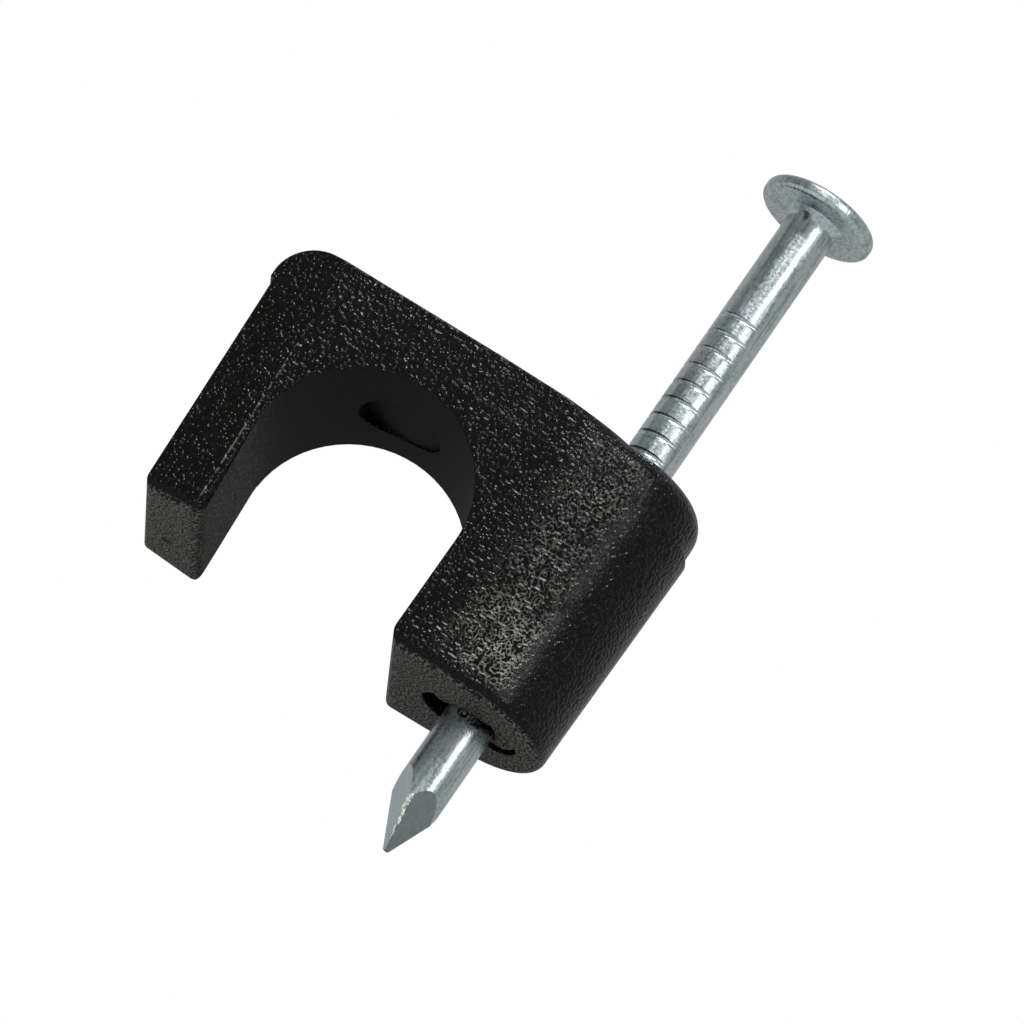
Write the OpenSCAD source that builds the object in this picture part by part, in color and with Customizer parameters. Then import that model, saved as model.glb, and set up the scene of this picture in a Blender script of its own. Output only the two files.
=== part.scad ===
// Nail-in cable clip: a moulded hook that drops over a round cable, with a steel nail fitted in its boss.
// The nail stands on the Z axis with its head up. The wall is the plane Z = 0, and the cable runs along Y.

/* [Cable channel] */
// Diameter of the round crown that the cable lies in
channel_d = 7.4; // [5:0.1:12]
// Height of the crown's centre above the wall
channel_z = 3.98; // [3:0.02:6]
// Distance from the nail's axis to the near side of the crown
channel_gap = 3.2; // [3:0.1:5]
// Lean of the boss's side of the channel, which narrows the mouth
throat_lean = 0.5; // [0:0.5:4]
// Radius of the mouth's edge on the boss's side
throat_edge_r = 0.55; // [0.2:0.05:0.8]
// Radius of the mouth's edge on the leg's side
leg_edge_r = 0.4; // [0.2:0.05:0.6]

/* [Hook] */
// Height of the leg's foot above the wall
leg_lift = 0.18; // [0:0.02:0.4]
// Depth of the hook along the cable, at the parting line
hook_d = 6.5; // [6:0.1:8]
// Thickness of the free leg at its foot
leg_t = 2.2; // [1.4:0.05:3]
// Inward lean of the leg's inner face
leg_lean = 4.5; // [0:0.5:6]
// Inward lean of the leg's outer face
outer_lean = 2.6; // [0:0.2:6]
// Thickness of the hook above the crown
crown_t = 2.3; // [1.8:0.1:4]
// Radius of the hook's top corner
hook_corner_r = 1.4; // [0.8:0.1:1.6]
// Radius of the leg's outer edge at its foot
toe_r = 0.4; // [0.2:0.05:0.8]
// Radius of the leg's long inner edges at the foot
leg_side_r = 0.34; // [0.2:0.02:0.4]
// Slope at which those edges become sharp towards the crown
leg_side_run = 1.3; // [1:0.1:2]
// Width of the shallow facets on the leg's front and back
facet_w = 1.85; // [1:0.05:2.2]
// Set-back of a facet at the leg's outer edge
facet_drop = 0.35; // [0.1:0.05:0.6]
// Distance from the nail at which the hook starts to narrow towards the boss
waist_x = 5.2; // [4.5:0.1:8]
// Slope of that narrowing on each side
waist_taper = 2.4; // [0:0.2:8]

/* [Boss] */
// Diameter of the boss at the parting line
boss_d = 6.12; // [5.6:0.02:7]
// Distance that the boss is centred behind the nail
boss_back = 0.2; // [0:0.05:0.4]
// Radius of the rim round the foot
foot_r = 0.35; // [0.2:0.05:0.8]
// Radius of the boss's upper rim
top_r = 0.9; // [0.4:0.05:1.2]
// Slope at which the upper rim runs out along the hook's edges
rim_run = 10; // [6:1:20]

/* [Moulding marks] */
// Draft of the outer faces, away from the parting line
draft = 1.2; // [0.5:0.1:2]
// Depth of the parting line below the top
parting_drop = 1.65; // [1.5:0.05:1.8]
// Offset of the upper mould half towards the hook
mould_shift = 0.13; // [0.03:0.01:0.2]
// Diameter of the ejector-pin mark in the crown
pin_mark_d = 2.9; // [1.5:0.1:3.4]
// Offset of that mark from the crown's centre, towards the leg
pin_mark_x = 0.45; // [0:0.05:0.8]
// Offset of that mark along the cable
pin_mark_y = 0.4; // [-0.8:0.1:0.8]
// Depth of that mark above the crown
pin_mark_rise = 0.05; // [0.02:0.01:0.15]

/* [Nail] */
// Diameter of the nail's shank
nail_d = 1.75; // [1.4:0.05:2.4]
// Height of the underside of the nail's head above the wall
head_z = 20.73; // [14:0.01:30]
// Length of nail below the wall plane
nail_below = 5.02; // [4:0.02:10]
// Length of the four-sided point
point_l = 2.4; // [1.8:0.1:3]
// Width across the blunt tip
tip_w = 0.16; // [0.1:0.02:0.3]
// Distance of the tip from the nail's axis, towards the boss's round end
tip_shift = 0.12; // [0:0.02:0.2]
// Turn of the point's facets about the nail
point_turn = 31; // [0:1:90]
// Diameter of the nail's head
head_d = 4.05; // [3.4:0.05:5]
// Thickness of the head
head_t = 0.52; // [0.5:0.02:0.8]
// Radius of the head's rim
head_rim_r = 0.2; // [0.1:0.02:0.24]
// Width of the cone where the head meets the shank
head_neck = 0.25; // [0.1:0.05:0.4]

/* [Grip marks] */
// Number of grip marks across the shank
grip_count = 10; // [4:1:12]
// Spacing of the grip marks
grip_pitch = 0.7; // [0.5:0.05:1]
// Distance from the head to the first grip mark
grip_drop = 4.5; // [3:0.1:6]
// Depth of a grip mark
grip_depth = 0.07; // [0.03:0.01:0.1]
// Half angle that a grip mark covers round the shank
grip_reach = 65; // [40:5:80]
// Radius of a grip mark's hollow
grip_r = 0.14; // [0.1:0.01:0.2]
// Turn of the grip marks about the nail
grip_turn = -115; // [-180:5:180]

/* [Nail hole] */
// Clearance between the nail and its hole, on each side
nail_clear = 0.02; // [0.01:0.01:0.05]
// Length of the slot at the foot of the hole
slot_l = 3.5; // [2.6:0.1:3.8]
// Depth of that slot
slot_deep = 2.6; // [1:0.1:5]

/* [Hidden] */
$fn = 96;

over = 1;
body_h = channel_z + channel_d / 2 + crown_t;
channel_x = channel_gap + channel_d / 2;
parting_z = body_h - parting_drop;
hole_d = nail_d + 2 * nail_clear;

// The leg's inner face leans by leg_lean and is tangent to the crown. Its outer face leans by outer_lean.
leg_slope = tan(leg_lean);
leg_tangent_x = channel_x + channel_d / 2 * cos(leg_lean);
leg_tangent_z = channel_z - channel_d / 2 * sin(leg_lean);
leg_inner = leg_tangent_x - (leg_tangent_z - leg_lift) * leg_slope;
leg_outer = leg_inner + leg_t;
throat_slope = tan(throat_lean);
throat_tangent_x = channel_x - channel_d / 2 * cos(throat_lean);
throat_tangent_z = channel_z - channel_d / 2 * sin(throat_lean);
throat_inner = throat_tangent_x + throat_tangent_z * throat_slope;

// Distance of the leg's outer face from the nail at a height.
function outer_at(z) = leg_outer + (z - leg_lift) * tan(outer_lean);

corner_z = body_h - hook_corner_r;
corner_x = outer_at(corner_z) - hook_corner_r / cos(outer_lean);
toe_x = leg_outer - toe_r * (1 - sin(outer_lean)) / cos(outer_lean);
facet_angle = atan(facet_drop / facet_w);
reach = 2 * (outer_at(body_h) + boss_d);

// Half width that the draft leaves at a distance from the parting line.
function drafted(half_w, h) = half_w - h * tan(draft);

// A grip mark is a ring set off the nail's axis, so it runs out at grip_reach on either side.
grip_shift = grip_depth / (1 - cos(grip_reach));
grip_ring_r = nail_d / 2 - grip_depth + grip_shift + grip_r;
point_angle = atan((nail_d - tip_w) / 2 / point_l);

// Side view of the cable channel, open at the wall.
module channel_outline() {
    translate([-channel_x, channel_z]) circle(d = channel_d);
    polygon([
        [-leg_tangent_x, leg_tangent_z],
        [-throat_tangent_x, throat_tangent_z],
        [-throat_inner - over * throat_slope, -over],
        [-leg_inner + (leg_lift + over) * leg_slope, -over]
    ]);
    translate([-throat_inner, 0]) mouth_edge(throat_lean, throat_edge_r);
    translate([-leg_inner, leg_lift]) mirror([1, 0]) mouth_edge(leg_lean, leg_edge_r);
}

// Space outside a rounded edge of the channel's mouth, where a wall that leans by lean meets the foot.
module mouth_edge(lean, r) {
    centre_x = r * tan(lean) + r / cos(lean);
    difference() {
        polygon([
            [-r, -over],
            [-r, r + r * sin(lean)],
            [centre_x - r * cos(lean), r + r * sin(lean)],
            [centre_x, 0],
            [centre_x, -over]
        ]);
        translate([centre_x, r]) circle(r = r);
    }
}

// Side view of the hook up to the boss's centre, with its top corner and its toe rounded.
module hook_outline() {
    translate([-corner_x, corner_z]) circle(r = hook_corner_r);
    translate([-toe_x, leg_lift + toe_r]) circle(r = toe_r);
    polygon([
        [-boss_back, 0],
        [-boss_back, body_h],
        [-corner_x, body_h],
        [-corner_x - hook_corner_r * cos(outer_lean), corner_z - hook_corner_r * sin(outer_lean)],
        [-toe_x - toe_r * cos(outer_lean), leg_lift + toe_r - toe_r * sin(outer_lean)],
        [-toe_x, leg_lift],
        [-channel_x, leg_lift],
        [-channel_x, 0]
    ]);
}

// Space inside the hook's front (side -1) or back (side 1), which leans by tilt and turns in plan by turn.
module flank(side, turn, tilt) {
    translate([-waist_x, side * hook_d / 2, parting_z])
        rotate([0, 0, -side * turn]) rotate([-side * tilt, 0, 0])
            translate([-reach, -reach - side * reach, -reach]) cube(2 * reach);
}

// Space outside a shallow facet that runs up the leg and takes its front or back towards the outer edge.
module leg_facet(side, tilt) {
    translate([facet_w - outer_at(parting_z), side * hook_d / 2, parting_z])
        rotate([-side * tilt, 0, 0]) rotate([0, -outer_lean, 0]) rotate([0, 0, side * facet_angle])
            translate([-reach, -reach + side * reach, -reach]) cube(2 * reach);
}

// Space inside one long edge of the hook, at its top (end 1) or foot (end -1). It is rounded by rim, passes
// half_w from the middle at x, turns in plan by turn, and becomes sharp along the hook by the slope run.
module rim_edge(side, end, x, half_w, z, turn, run, rim) {
    translate([x, side * half_w, z]) rotate([0, 0, -side * turn]) rotate([0, end * run - 90, 0])
        linear_extrude(2 * reach, center = true) {
            translate([-end * rim, -side * rim]) circle(r = rim);
            polygon([
                [-end * rim, 0],
                [-end * (rim + reach), side * reach],
                [-end * (rim + reach), -side * reach],
                [0, -side * reach],
                [0, -side * rim]
            ]);
        }
}

// The hook between two heights: its side view carried across the depth, between its drafted faces.
module hook(z0, z1, tilt) {
    difference() {
        intersection() {
            rotate([90, 0, 0]) linear_extrude(2 * hook_d, center = true) hook_outline();
            translate([-reach, -hook_d, z0]) cube([2 * reach, 2 * hook_d, z1 - z0]);
            flank(-1, 0, tilt);
            flank(-1, waist_taper, tilt);
            flank(1, 0, tilt);
            flank(1, waist_taper, tilt);
        }
        leg_facet(-1, tilt);
        leg_facet(1, tilt);
    }
}

// Half of the boss, from the parting line to a rounded rim at height h.
module boss_half(h, rim) {
    rim_x = drafted(boss_d / 2, h) + rim * tan(draft) - rim / cos(draft);
    rotate_extrude() {
        translate([rim_x, h - rim]) circle(r = rim);
        polygon([
            [0, 0],
            [boss_d / 2, 0],
            [rim_x + rim * cos(draft), h - rim + rim * sin(draft)],
            [rim_x, h],
            [0, h]
        ]);
    }
}

// Space inside the edge of the foot on one side, along the boss and the web.
module foot_edge(side) {
    rim_edge(side, -1, -waist_x, drafted(hook_d / 2, parting_z - foot_r), 0, waist_taper, 0, foot_r);
}

// Section of the space outside a rounded corner. The corner is at zero, and its solid lies towards -x and -y.
module corner_cut(r) {
    difference() {
        translate([-r, -r]) square(2 * r);
        translate([-r, -r]) circle(r = r);
    }
}

// Space outside the rounded edges of the leg on one side: across its foot, and up its inner edge.
module leg_edges(side) {
    half_w = drafted(hook_d / 2, parting_z - leg_lift - foot_r);
    mirror([0, side < 0 ? 1 : 0, 0]) {
        translate([facet_w - leg_outer, half_w, leg_lift]) rotate([0, 0, facet_angle]) rotate([0, 90, 0])
            linear_extrude(3 * leg_t, center = true) corner_cut(foot_r);
        translate([-leg_inner, half_w, leg_lift])
            rotate([-draft - leg_side_run, leg_side_run - leg_lean, 0]) translate([0, 0, -over])
                linear_extrude(channel_z + over) corner_cut(leg_side_r);
    }
}

module lower_half() {
    difference() {
        intersection() {
            hook(0, parting_z, draft);
            foot_edge(-1);
            foot_edge(1);
        }
        leg_edges(-1);
        leg_edges(1);
    }
    translate([-boss_back, 0, parting_z]) rotate([180, 0, 0]) boss_half(parting_z, foot_r);
}

// Space inside the hook's upper edge on one side, which starts as round as the boss's rim.
module top_edge(side) {
    half_w = drafted(boss_d / 2, parting_drop);
    rim_edge(side, 1, -boss_back, half_w, body_h, waist_taper + rim_run / 4, rim_run, top_r);
}

module upper_half() {
    intersection() {
        hook(parting_z, body_h, -draft);
        top_edge(-1);
        top_edge(1);
    }
    translate([-boss_back, 0, parting_z]) boss_half(parting_drop, top_r);
}

// Round hole for the nail, opened to a slot at its foot so that the boss can give as the nail is driven.
module nail_hole() {
    translate([0, 0, -over]) cylinder(d = hole_d, h = body_h + 2 * over);
    slot_run = slot_l - hole_d;
    translate([-slot_run / 2, -hole_d / 2, -over]) cube([slot_run, hole_d, slot_deep + over]);
    for (end = [-1, 1])
        translate([end * slot_run / 2, 0, -over]) cylinder(d = hole_d, h = slot_deep + over);
}

module ejector_mark() {
    translate([-channel_x - pin_mark_x, pin_mark_y, channel_z])
        cylinder(d = pin_mark_d, h = channel_d / 2 + pin_mark_rise);
}

module clip_body() {
    color([0.09, 0.09, 0.085]) difference() {
        union() {
            lower_half();
            translate([-mould_shift, 0, 0]) upper_half();
        }
        rotate([90, 0, 0]) linear_extrude(2 * hook_d, center = true) channel_outline();
        ejector_mark();
        nail_hole();
    }
}

// Rectangle with its four corners rounded, centred across and standing on zero.
module rounded_section(w, h, r) {
    translate([-w / 2 + r, 0]) square([w - 2 * r, h]);
    translate([-w / 2, r]) square([w, h - 2 * r]);
    for (side = [-1, 1], z = [r, h - r])
        translate([side * (w / 2 - r), z]) circle(r = r);
}

// Flat head with a rounded rim and a short cone into the shank.
module nail_head() {
    translate([0, 0, head_z]) rotate_extrude() {
        intersection() {
            rounded_section(head_d, head_t, head_rim_r);
            square([head_d, head_t]);
        }
        polygon([
            [0, -head_neck],
            [nail_d / 2, -head_neck],
            [nail_d / 2 + head_neck, 0],
            [nail_d / 2 + head_neck, head_rim_r],
            [0, head_rim_r]
        ]);
    }
}

// The four cuts that leave a four-sided point.
module point_cuts() {
    translate([tip_shift, 0, -nail_below]) for (turn = [0 : 90 : 270])
        rotate(turn + point_turn - 90) translate([tip_w / 2, -nail_d, 0])
            rotate([0, point_angle, 0]) translate([0, 0, -point_l])
                cube([2 * nail_d, 2 * nail_d, 3 * point_l]);
}

// One grip mark: a ring that bites into one side of the shank.
module grip_mark() {
    translate([-grip_shift, 0, 0]) rotate_extrude()
        translate([grip_ring_r, 0]) circle(r = grip_r, $fn = 32);
}

module nail() {
    color([0.62, 0.65, 0.68]) difference() {
        union() {
            translate([0, 0, -nail_below]) cylinder(d = nail_d, h = nail_below + head_z + head_rim_r);
            nail_head();
        }
        point_cuts();
        rotate(grip_turn) for (i = [0 : grip_count - 1])
            translate([0, 0, head_z - grip_drop - i * grip_pitch]) grip_mark();
    }
}

clip_body();
nail();
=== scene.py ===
import math
import bpy
import numpy as np
from mathutils import Matrix, Vector


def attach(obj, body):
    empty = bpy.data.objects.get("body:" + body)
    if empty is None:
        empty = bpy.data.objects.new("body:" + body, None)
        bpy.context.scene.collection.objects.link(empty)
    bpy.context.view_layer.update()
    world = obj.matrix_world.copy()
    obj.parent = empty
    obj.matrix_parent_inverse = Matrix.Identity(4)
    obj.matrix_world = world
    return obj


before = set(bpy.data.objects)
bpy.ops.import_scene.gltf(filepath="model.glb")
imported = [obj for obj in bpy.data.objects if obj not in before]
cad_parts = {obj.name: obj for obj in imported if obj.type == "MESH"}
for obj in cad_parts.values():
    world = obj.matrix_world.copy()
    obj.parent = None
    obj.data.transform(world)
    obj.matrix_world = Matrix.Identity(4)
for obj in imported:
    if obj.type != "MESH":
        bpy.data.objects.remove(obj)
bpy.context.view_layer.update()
print("frame loaded:", sorted(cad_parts))

mm = 0.001
scene = bpy.context.scene
scene.view_settings.view_transform = "Standard"


# One shader socket. Arithmetic on it adds Math nodes to its tree, and node() adds any other node.
class Wire:
    def __init__(self, tree, socket=None):
        self.tree = tree
        self.socket = socket

    def node(self, kind, settings, links, out=0):
        made = self.tree.nodes.new(kind)
        for name, value in settings.items():
            setattr(made, name, value)
        for name, value in links.items():
            if isinstance(value, Wire):
                self.tree.links.new(value.socket, made.inputs[name])
            else:
                made.inputs[name].default_value = value
        return Wire(self.tree, made.outputs[out] if len(made.outputs) else None)

    def pick(self, out):                             # another output of the same node
        return Wire(self.tree, self.socket.node.outputs[out])

    def calc(self, operation, a, b=0.0, clamp=False):
        return self.node("ShaderNodeMath", {"operation": operation, "use_clamp": clamp}, {0: a, 1: b})

    def __add__(self, other):
        return self.calc("ADD", self, other)

    def __radd__(self, other):
        return self.calc("ADD", other, self)

    def __sub__(self, other):
        return self.calc("SUBTRACT", self, other)

    def __rsub__(self, other):
        return self.calc("SUBTRACT", other, self)

    def __mul__(self, other):
        return self.calc("MULTIPLY", self, other)

    def __rmul__(self, other):
        return self.calc("MULTIPLY", other, self)

    def __abs__(self):
        return self.calc("ABSOLUTE", self)

    def axes(self):                                  # the x, y and z of a vector
        x = self.node("ShaderNodeSeparateXYZ", {}, {0: self}, "X")
        return x, x.pick("Y"), x.pick("Z")

    def distance(self, point):                       # from this place to a point
        return self.node("ShaderNodeVectorMath", {"operation": "DISTANCE"}, {0: self, 1: point}, "Value")

    def noise(self, scale, detail):                  # noise level at this place
        return self.node("ShaderNodeTexNoise", {}, {"Vector": self, "Scale": scale, "Detail": detail})

    def ramp(self, low, high):                       # 0 below low, 1 above high, smooth between
        return self.node("ShaderNodeMapRange", {"interpolation_type": "SMOOTHSTEP"},
                         {"Value": self, "From Min": low, "From Max": high})

    def blend(self, a, b):                           # colour a where this is 0, colour b where it is 1
        return self.node("ShaderNodeMix", {"data_type": "RGBA"}, {"Factor": self, 6: a, 7: b}, 2)

    def bump(self, distance, below=None):            # the normal of a surface with this height
        links = {"Height": self, "Strength": 1.0, "Distance": distance}
        if below is not None:
            links["Normal"] = below
        return self.node("ShaderNodeBump", {}, links)


def newTree(name):
    material = bpy.data.materials.new(name)
    material.use_nodes = True
    material.node_tree.nodes.clear()
    return material, Wire(material.node_tree)


def millimetres(start):                              # Object coordinates in millimetres
    place = start.node("ShaderNodeTexCoord", {}, {}, "Object")
    return start.node("ShaderNodeVectorMath", {"operation": "SCALE"}, {0: place, "Scale": 1.0 / mm})


def facingAxes(start):                               # how far the surface faces along x, y and z
    return start.node("ShaderNodeNewGeometry", {}, {}, "Normal").axes()


def paint(start, sockets):
    shader = start.node("ShaderNodeBsdfPrincipled", {}, sockets)
    start.node("ShaderNodeOutputMaterial", {}, {"Surface": shader})


# The moulded clip: black plastic, spark-eroded outside, matt in the channel, rubbed at the feet.
# A pair is where something starts and where it is full: in mm, in noise level, or by the way a face turns.
plastic = {
    "colour": (0.0030, 0.0030, 0.0026, 1.0),
    "wornAndGlint": (0.13, 0.13, 0.117, 1.0),                # specks rubbed on the feet and the leg, and a painted highlight along the crease
    "paintedWormGlint": (0.20, 0.20, 0.187, 1.0),               # painted highlight along the edges of the worms on the boss
    "specular": 0.17,
    "roughDots": 0.20, "roughWorms": 0.22, "roughChannel": 0.75, "roughFoot": 0.6,
    "dotScale": 8.5, "dotLevel": 0.63,               # noise cells in a millimetre, and the cut in its level
    "wormScale": 7.5, "wormLevel": 0.50,
    "riseHalf": 0.2,                                 # half the rise from the ground to a dot or a worm
    "fineScale": 11.0, "fineDetail": 1.0,
    "fineAll": 0.08, "fineChannel": 0.3, "fineFoot": 0.8,           # how far the fine noise stands out
    "relief": 0.00003,                               # height of the texture in metres
    "edge": 0.00010, "edgeSamples": 6,               # softness of the sharp edges in metres
    "bossX": (-2.6, -0.9),                           # dots turn to worms
    "footDown": (0.55, 0.9), "footTop": (0.3, 0.5), "footSpeck": (0.44, 0.60),
    "channelFront": (0.25, 0.6), "channelTop": (7.84, 7.9),
    "channelLeft": (-10.95, -10.9), "channelRight": (-3.14, -3.08),
    "wallX": (-10.3, -9.6), "wallTop": (3.0, 5.5), "wallSpeck": (0.48, 0.62), "wallWear": 0.55,
    "creaseX": -10.654, "creaseSlope": -0.0454, "creaseHalf": 0.05,  # its x at the wall, half its width in mm
    "creaseFoot": (0.4, 0.7), "creaseTop": (5.0, 8.3), "creaseSpeck": (0.3, 0.6), "creaseGlint": 0.9,
    "gougeAt": (-11.55, 0.85, 0.18),                 # a small dent in the leg's foot
    "gougeEdge": (0.20, 0.32), "gougeRagged": 0.12,
    "flashTop": (-0.06, 0.0), "flashX": (0.0, 0.4),  # the skirt below the boss's foot is rubbed too
    "bandX": (-2.2, -0.6), "bandFront": (0.86, 0.985), "bandY": (-2.4, -2.0),
    "bandFoot": (0.3, 0.95), "bandTop": (1.2, 4.6), "bandLeast": 0.35,           # where the painted highlight lies on the boss's front
    "cloudScale": 1.1, "cloudDetail": 1.0, "cloudLevel": (0.25, 0.6),
    "glintLine": (0.02, 0.12),
}


def blackPlastic():
    p = plastic
    material, start = newTree("black_plastic")
    place = millimetres(start)
    x, y, z = place.axes()
    _, facingY, facingZ = facingAxes(start)
    across, down = abs(facingY), facingZ * -1.0

    # Where each finish lies: masks in millimetres and by the way the surface faces.
    boss = x.ramp(*p["bossX"])
    foot = down.ramp(*p["footDown"]) * (1.0 - z.ramp(*p["footTop"]))
    channel = (1.0 - across.ramp(*p["channelFront"])) * x.ramp(*p["channelLeft"])
    channel = channel * (1.0 - x.ramp(*p["channelRight"])) * (1.0 - z.ramp(*p["channelTop"])) * (1.0 - foot)
    eroded = 1.0 - channel - foot
    legWall = channel * (1.0 - x.ramp(*p["wallX"])) * (1.0 - z.ramp(*p["wallTop"]))
    crease = 1.0 - abs(x - z * p["creaseSlope"] - p["creaseX"]).ramp(0.0, p["creaseHalf"])
    crease = crease * eroded * (1.0 - z.ramp(*p["creaseTop"])) * z.ramp(*p["creaseFoot"])

    # Noise cut at its middle gives worms, and cut higher up gives separate dots.
    half = p["riseHalf"]
    grain = place.noise(p["dotScale"], 0.0)
    dots = (grain - p["dotLevel"]).ramp(-half, half)
    curl = place.noise(p["wormScale"], 0.0)
    worms = (curl - p["wormLevel"]).ramp(-half, half)
    fine = place.noise(p["fineScale"], p["fineDetail"])
    relief = (dots * (1.0 - boss) + worms * boss) * eroded
    relief = relief + fine * (p["fineAll"] + p["fineChannel"] * channel + p["fineFoot"] * foot)
    soft = start.node("ShaderNodeBevel", {"samples": p["edgeSamples"]}, {"Radius": p["edge"]})
    normal = relief.bump(p["relief"], soft)
    rough = (p["roughDots"] * (1.0 - boss) + p["roughWorms"] * boss) * eroded
    rough = rough + p["roughChannel"] * channel + p["roughFoot"] * foot

    # Pale specks: rubbed on the feet and the leg's inner wall, and a painted highlight along the crease.
    hanging = (1.0 - z.ramp(*p["flashTop"])) * (1.0 - x.ramp(*p["flashX"]))
    gouge = 1.0 - (place.distance(p["gougeAt"]) + grain * p["gougeRagged"]).ramp(*p["gougeEdge"])
    rubbedAndGlint = (foot * (1.0 - gouge) + hanging) * fine.ramp(*p["footSpeck"])
    rubbedAndGlint = rubbedAndGlint + legWall * fine.ramp(*p["wallSpeck"]) * p["wallWear"]
    # painted highlight: pale specks along the crease line
    rubbedAndGlint = rubbedAndGlint + crease * grain.ramp(*p["creaseSpeck"]) * p["creaseGlint"]

    # Painted highlight: thin pale lines along the edges of the worms, in clouds on the boss's front and fewer
    # towards its top.
    cloud = place.noise(p["cloudScale"], p["cloudDetail"])
    band = x.ramp(*p["bandX"]) * across.ramp(*p["bandFront"]) * (1.0 - y.ramp(*p["bandY"]))
    band = band * eroded * z.ramp(*p["bandFoot"])
    lower = 1.0 - z.ramp(*p["bandTop"])
    band = band * (p["bandLeast"] + (1.0 - p["bandLeast"]) * lower) * cloud.ramp(*p["cloudLevel"])
    # painted highlight: pale colour on the worm edges where the band lies
    paintedWormGlint = (1.0 - abs(curl - p["wormLevel"]).ramp(*p["glintLine"])) * band

    colour = paintedWormGlint.blend(rubbedAndGlint.blend(p["colour"], p["wornAndGlint"]), p["paintedWormGlint"])
    paint(start, {"Base Color": colour, "Roughness": rough,
                  "Specular IOR Level": p["specular"], "Normal": normal})
    return material


# The nail: bright zinc over drawn wire, streaked along its length. The two sides of its point that show have
# painted light and shade: lighter on the left, darker on the right.
zinc = {
    "light": (0.60, 0.68, 0.70, 1.0),
    "dark": (0.35, 0.41, 0.42, 1.0),
    "toneStreak": 0.5, "toneSpeck": 0.3, "toneCloud": 0.2, "toneLevel": (0.38, 0.58),
    # painted light and shade on the point: its left side lit, its right side shaded
    "litSidePaint": (0.52, 0.61, 0.62, 1.0),
    "shadedSidePaint": (0.19, 0.225, 0.23, 1.0),
    "sideX": (-0.1, 0.1), "sideCover": 0.85,
    "pointDown": (0.15, 0.25), "pointTop": (-2.4, -2.2),
    "nick": (0.10, 0.115, 0.115, 1.0),               # a dark nick under the head
    "nickAt": (-0.25, -0.95, 20.5), "nickEdge": (0.2, 0.32), "nickRagged": 0.2,
    "drawn": (9.0, 9.0, 0.55), "drawnDetail": 3.0,   # noise cells in a millimetre, across and along the wire
    "speckScale": 9.0, "speckDetail": 2.5,
    "cloudScale": 1.3, "cloudDetail": 2.0,
    "rough": 0.30, "roughSpread": 0.20,
    "relief": 0.000012, "reliefStreak": 0.7, "reliefSpeck": 0.6,     # height in metres, and the shares in it
}


def zincPlate():
    material, start = newTree("zinc_steel")
    place = millimetres(start)
    _, _, z = place.axes()
    facingX, _, facingZ = facingAxes(start)
    drawn = start.node("ShaderNodeVectorMath", {"operation": "MULTIPLY"}, {0: place, 1: zinc["drawn"]})
    streak = drawn.noise(1.0, zinc["drawnDetail"])
    speck = place.noise(zinc["speckScale"], zinc["speckDetail"])
    cloud = place.noise(zinc["cloudScale"], zinc["cloudDetail"])
    mixed = streak * zinc["toneStreak"] + speck * zinc["toneSpeck"] + cloud * zinc["toneCloud"]
    tone = mixed.ramp(*zinc["toneLevel"])
    rough = zinc["rough"] + (speck - 0.5) * zinc["roughSpread"]
    normal = (streak * zinc["reliefStreak"] + speck * zinc["reliefSpeck"]).bump(zinc["relief"])
    pointed = (facingZ * -1.0).ramp(*zinc["pointDown"]) * (1.0 - z.ramp(*zinc["pointTop"]))
    # painted light and shade: the point's sides take a lit or a shaded colour by the way they face
    sides = facingX.ramp(*zinc["sideX"]).blend(zinc["litSidePaint"], zinc["shadedSidePaint"])
    colour = (pointed * zinc["sideCover"]).blend(tone.blend(zinc["dark"], zinc["light"]), sides)
    nick = 1.0 - (place.distance(zinc["nickAt"]) + speck * zinc["nickRagged"]).ramp(*zinc["nickEdge"])
    colour = nick.blend(colour, zinc["nick"])
    paint(start, {"Base Color": colour, "Roughness": rough, "Metallic": 1.0, "Normal": normal})
    return material


def dress(name, material):                           # the CAD node keeps its mesh and takes this finish
    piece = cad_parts[name]
    for place in piece.material_slots:
        place.link = "OBJECT"
        place.material = material


blackFinish = blackPlastic()
dress("clip_body", blackFinish)
dress("nail", zincPlate())
print("materials done")


# A closed tube: rows along its path, columns round it, and a point at either end.
def addTube(name, rows, material):
    count, around, _ = rows.shape
    points = np.vstack([rows.reshape(-1, 3), rows[0].mean(0), rows[-1].mean(0)]) * mm
    ring = np.arange(around)
    step = (ring + 1) % around
    near = np.arange(count - 1)[:, None] * around
    far = near + around
    sides = np.stack([near + ring, near + step, far + step, far + ring], -1).reshape(-1, 4)
    first, last = count * around, count * around + 1
    lastRow = (count - 1) * around
    starts = np.stack([np.full(around, first), step, ring], -1)
    ends = np.stack([np.full(around, last), lastRow + ring, lastRow + step], -1)
    mesh = bpy.data.meshes.new(name)
    mesh.from_pydata(points.tolist(), [], sides.tolist() + starts.tolist() + ends.tolist())
    mesh.polygons.foreach_set("use_smooth", np.ones(len(mesh.polygons), dtype=bool))
    mesh.materials.append(material)
    piece = bpy.data.objects.new(name, mesh)
    scene.collection.objects.link(piece)
    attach(piece, "root")


tube = {"least": 0.05, "blunt": 0.4,                 # the size at its ends, and how fast it swells
        "columns": 24, "corner": 0.6}                # round a box section, and the power that squares it


def swell(u):                                        # small at both ends of a tube and 1 along its middle
    return (tube["least"] + (1.0 - tube["least"]) * np.clip(np.sin(np.pi * u), 0.0, 1.0)) ** tube["blunt"]


def squared(wave):                                   # a sine or cosine to a power below 1, with its sign
    return np.sign(wave) * abs(wave) ** tube["corner"]


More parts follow.
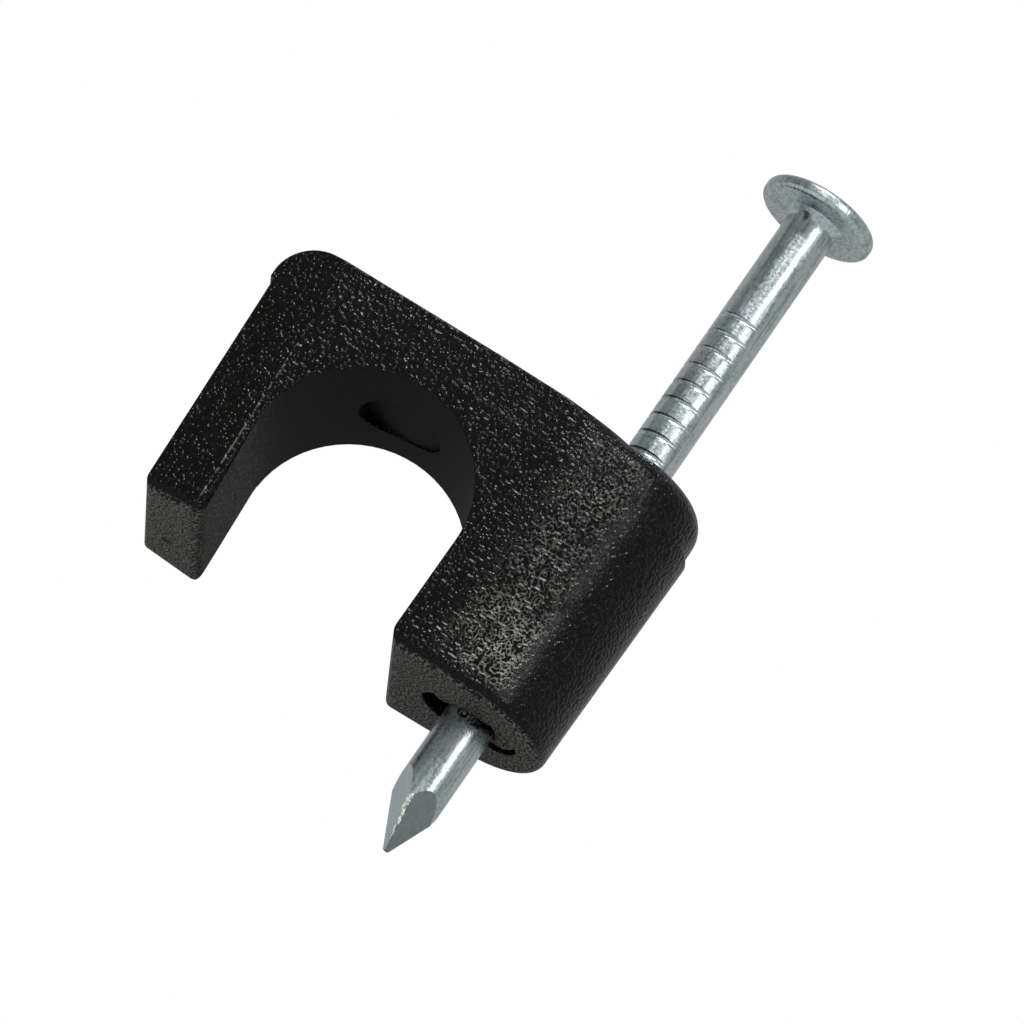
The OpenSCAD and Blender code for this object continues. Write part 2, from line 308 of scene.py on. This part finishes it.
# Angle a runs round the nail, and v round the section there. The section is a rounded box: its middle, plus
# half its width and half its height times the squared cosine and sine of v. It swells from small ends.
def ringBox(angles, inner, outer, low, high):
    u = np.linspace(0.0, 1.0, len(angles))
    v = np.linspace(0.0, -2.0 * np.pi, tube["columns"], endpoint=False)
    r = ((inner + outer) / 2)[:, None] + ((outer - inner) / 2 * swell(u))[:, None] * squared(np.cos(v))
    z = ((low + high) / 2)[:, None] + ((high - low) / 2 * swell(u))[:, None] * squared(np.sin(v))
    a = angles[:, None] + 0.0 * v
    return np.stack([r * np.cos(a), r * np.sin(a), z], -1)


# Plastic pushed out by the nail: lips that all but close the slot's right end and half of its left end.
lips = {
    "slot_lip_right": {"from": -58.0, "to": 52.0, "end": 0.855, "gap": 0.21},    # degrees round the nail, mm
    "slot_lip_left": {"from": 191.0, "to": 239.0, "end": -0.855, "gap": 0.0},
}
lipBox = {
    "inner": 0.88, "low": 0.03, "high": 0.5, "thin": 0.04, "rows": 60,
    "round": 0.895, "bury": 0.04,                    # the slot's end, and a lip's run into its wall, in mm
    "gapFrom": -10.0, "gapOver": 30.0,               # degrees over which the gap opens
    "ripple": 0.02, "rippleTurns": (23.0, 9.0),
}


# The slot's round end is a circle off the nail's axis. The lip reaches to it, less a gap towards the back,
# and its lower edge ripples with the angle.
def addLip(name, lip):
    a = np.radians(np.linspace(lip["from"], lip["to"], lipBox["rows"]))
    reach = lip["end"] * np.cos(a) + np.sqrt(lipBox["round"] ** 2 - (lip["end"] * np.sin(a)) ** 2)
    opened = lip["gap"] * np.clip((np.degrees(a) - lipBox["gapFrom"]) / lipBox["gapOver"], 0.0, 1.0)
    outer = np.maximum(reach + lipBox["bury"] - opened, lipBox["inner"] + lipBox["thin"])
    quick, slow = lipBox["rippleTurns"]
    low = lipBox["low"] + lipBox["ripple"] * np.sin(quick * a) * np.cos(slow * a)
    rows = ringBox(a, lipBox["inner"], outer, low, lipBox["high"])
    addTube(name, rows, blackFinish)


skirt = {
    "from": -116.0, "to": -22.0, "rows": 80,         # degrees round the nail
    "inner": 0.87, "thick": 0.13, "thinning": 0.25, "thinTurns": 17.0,
    "high": 0.12, "hang": 0.34, "sag": 0.2, "sagTurns": 5.0, "sagStart": 0.6,
    "fray": 0.04, "frayTurns": (31.0, 13.0),
}


# A thin skirt in front of the nail. Sines of the angle make its lower edge wave and its thickness change.
def addSkirt():
    a = np.radians(np.linspace(skirt["from"], skirt["to"], skirt["rows"]))
    u = np.linspace(0.0, 1.0, len(a))
    quick, slow = skirt["frayTurns"]
    wave = 1.0 - skirt["sag"] + skirt["sag"] * np.sin(skirt["sagTurns"] * u + skirt["sagStart"])
    hang = skirt["hang"] * wave + skirt["fray"] * np.sin(quick * a) * np.sin(slow * a)
    thick = 1.0 - skirt["thinning"] + skirt["thinning"] * np.sin(skirt["thinTurns"] * a)
    rows = ringBox(a, skirt["inner"], skirt["inner"] + skirt["thick"] * thick, -hang, skirt["high"])
    addTube("slot_skirt", rows, blackFinish)


for name, lip in lips.items():
    addLip(name, lip)
addSkirt()

# A burr along the ridge between the two sides of the point that show, with painted glints in patches.
burr = {
    "turn": -104.0, "shift": 0.12,                   # the ridge's direction in degrees, and the tip's x
    "tip": -5.02, "tipHalf": 0.08, "slope": 0.3313,  # the point's end, half its width there, and its growth
    "from": 0.25, "to": 1.8, "size": 0.19, "flat": 0.55, "rows": 70, "columns": 16,
    "body": 0.75, "lump": 0.2, "lumpTurns": (19.0, 7.0), "lumpStart": 1.0, "saw": 0.08, "sawTurns": 83.0,
    "wander": 0.035, "wanderTurns": (23.0, 9.0), "wanderStart": 0.8,
    "taper": 0.9, "taperPower": 1.5,
    "paintedGlint": (0.95, 0.92, 0.80, 1.0), "speckScale": 11.0, "speckDetail": 3.0, "speckLevel": (0.44, 0.54),
    "rough": 0.35, "metallic": 0.2,
}


def paintedGlintBurr():
    material, start = newTree("burr_painted_glint")
    speck = millimetres(start).noise(burr["speckScale"], burr["speckDetail"])
    # painted glint: patches of near-white on the burr
    colour = speck.ramp(*burr["speckLevel"]).blend(zinc["dark"], burr["paintedGlint"])
    paint(start, {"Base Color": colour, "Roughness": burr["rough"], "Metallic": burr["metallic"]})
    return material


# The path follows the ridge from u = 0 at its top to u = 1 near the tip, and wanders sideways by sines of u.
# The section is an ellipse, flat on the ridge. Its size is jagged by sines of u and tapers to the tip.
def addBurr():
    u = np.linspace(0.0, 1.0, burr["rows"])
    h = burr["to"] + (burr["from"] - burr["to"]) * u
    reach = math.sqrt(2.0) * (burr["tipHalf"] + h * burr["slope"])
    turn = math.radians(burr["turn"])
    out = np.array([math.cos(turn), math.sin(turn), 0.0])
    side = np.array([-math.sin(turn), math.cos(turn), 0.0])
    up = np.array([0.0, 0.0, 1.0])
    tip = np.array([burr["shift"], 0.0, burr["tip"]])
    quick, slow = burr["wanderTurns"]
    wander = burr["wander"] * np.sin(quick * u + burr["wanderStart"]) * np.cos(slow * u)
    middle = out * reach[:, None] + tip + up * h[:, None] + wander[:, None] * side
    quick, slow = burr["lumpTurns"]
    jag = burr["body"] + burr["lump"] * np.sin(quick * u) * np.sin(slow * u + burr["lumpStart"])
    jag = jag + burr["saw"] * np.sin(burr["sawTurns"] * u)
    size = burr["size"] * jag * swell(u) * (1.0 - burr["taper"] * u) ** burr["taperPower"]
    v = np.linspace(0.0, 2.0 * np.pi, burr["columns"], endpoint=False)
    wide = (size[:, None] * np.cos(v))[:, :, None] * side
    deep = (size[:, None] * burr["flat"] * np.sin(v))[:, :, None] * out
    addTube("point_burr", middle[:, None, :] + wide + deep, paintedGlintBurr())


addBurr()
print("small pieces done")

# Pale floor under the nail's point. Its underside is clear, so it can be looked through from below.
floorSet = {"z": -5.07, "half": 400.0, "colour": (0.6, 0.6, 0.6, 1.0)}


def layFloor():
    h, z = floorSet["half"] * mm, floorSet["z"] * mm
    mesh = bpy.data.meshes.new("floor")
    mesh.from_pydata([(-h, -h, z), (h, -h, z), (h, h, z), (-h, h, z)], [], [(0, 1, 2, 3)])
    piece = bpy.data.objects.new("floor", mesh)
    scene.collection.objects.link(piece)
    material, start = newTree("floor_paint")
    pale = start.node("ShaderNodeBsdfDiffuse", {}, {"Color": floorSet["colour"]})
    clear = start.node("ShaderNodeBsdfTransparent", {}, {})
    under = start.node("ShaderNodeNewGeometry", {}, {}, "Backfacing")
    shader = start.node("ShaderNodeMixShader", {}, {0: under, 1: pale, 2: clear})
    start.node("ShaderNodeOutputMaterial", {}, {"Surface": shader})
    mesh.materials.append(material)


layFloor()

# Soft studio light: angles in degrees, lengths in mm
lamps = {
    "key": {"azimuth": -8.0, "elevation": 48.0, "distance": 300.0,
            "width": 85.0, "height": 85.0, "radiance": 32.0},
    "side": {"azimuth": 35.0, "elevation": 20.0, "distance": 300.0,
             "width": 95.0, "height": 100.0, "radiance": 4.2},
}
aim = Vector((-3.0, 0.0, 7.0)) * mm


def hangLamp(name, lamp):
    a, e = math.radians(lamp["azimuth"]), math.radians(lamp["elevation"])
    out = Vector((math.sin(a) * math.cos(e), -math.cos(a) * math.cos(e), math.sin(e)))
    data = bpy.data.lights.new(name, "AREA")
    data.shape = "RECTANGLE"
    data.size, data.size_y = lamp["width"] * mm, lamp["height"] * mm
    data.energy = lamp["radiance"] * math.pi * data.size * data.size_y
    light = bpy.data.objects.new(name, data)
    light.location = aim + out * lamp["distance"] * mm
    light.rotation_euler = out.to_track_quat("Z", "Y").to_euler()
    scene.collection.objects.link(light)


for name, lamp in lamps.items():
    hangLamp(name, lamp)

# White all round to the eye. Reflections see it dimmer: darkest at the left in front, lighter at the right
# and behind. The rest of the light that it gives is even.
studio = {"white": 1.0, "left": 0.21, "right": 0.37, "back": 0.5, "ambient": 0.35,
          "sweepX": (-0.7, 0.7), "sweepY": (-0.35, 0.55)}


def studioWorld():
    world = bpy.data.worlds.new("studio")
    world.use_nodes = True
    world.node_tree.nodes.clear()
    start = Wire(world.node_tree)
    rays = start.node("ShaderNodeLightPath", {}, {}, "Is Camera Ray")
    mirrored = start.calc("ADD", rays.pick("Is Glossy Ray"), rays.pick("Is Transmission Ray"), clamp=True)
    wayX, wayY, _ = start.node("ShaderNodeTexCoord", {}, {}, "Generated").axes()
    front = studio["left"] + (studio["right"] - studio["left"]) * wayX.ramp(*studio["sweepX"])
    shown = front + (studio["back"] - front) * wayY.ramp(*studio["sweepY"])
    level = mirrored * shown + (1.0 - mirrored) * studio["ambient"]
    level = rays * studio["white"] + (1.0 - rays) * level
    shader = start.node("ShaderNodeBackground", {}, {"Color": (1.0, 1.0, 1.0, 1.0), "Strength": level})
    start.node("ShaderNodeOutputWorld", {}, {"Surface": shader})
    scene.world = world


studioWorld()
print("stage and light done")

# The camera, fitted to the photograph: its axes and the point at the picture's middle, in millimetres.
lens = {
    "right": (0.8414, -0.0541, 0.5376),
    "down": (0.5171, 0.3693, -0.7722),
    "target": (-2.672, -0.431, 6.683),
    "distance": 278.9,
    "focal": 307.8, "sensor": 36.0,
    "near": 0.005, "far": 10.0,                      # clip distances in metres
}


def setCamera():
    right = Vector(lens["right"]).normalized()
    up = -Vector(lens["down"])
    back = right.cross(up).normalized()
    up = back.cross(right)
    data = bpy.data.cameras.new("camera")
    data.sensor_width = lens["sensor"]
    data.lens = lens["focal"]
    data.clip_start, data.clip_end = lens["near"], lens["far"]
    camera = bpy.data.objects.new("camera", data)
    turn = Matrix((right, up, back)).transposed()
    place = Vector(lens["target"]) * mm + back * lens["distance"] * mm
    camera.matrix_world = Matrix.Translation(place) @ turn.to_4x4()
    scene.collection.objects.link(camera)
    scene.camera = camera


setCamera()
print("camera done")
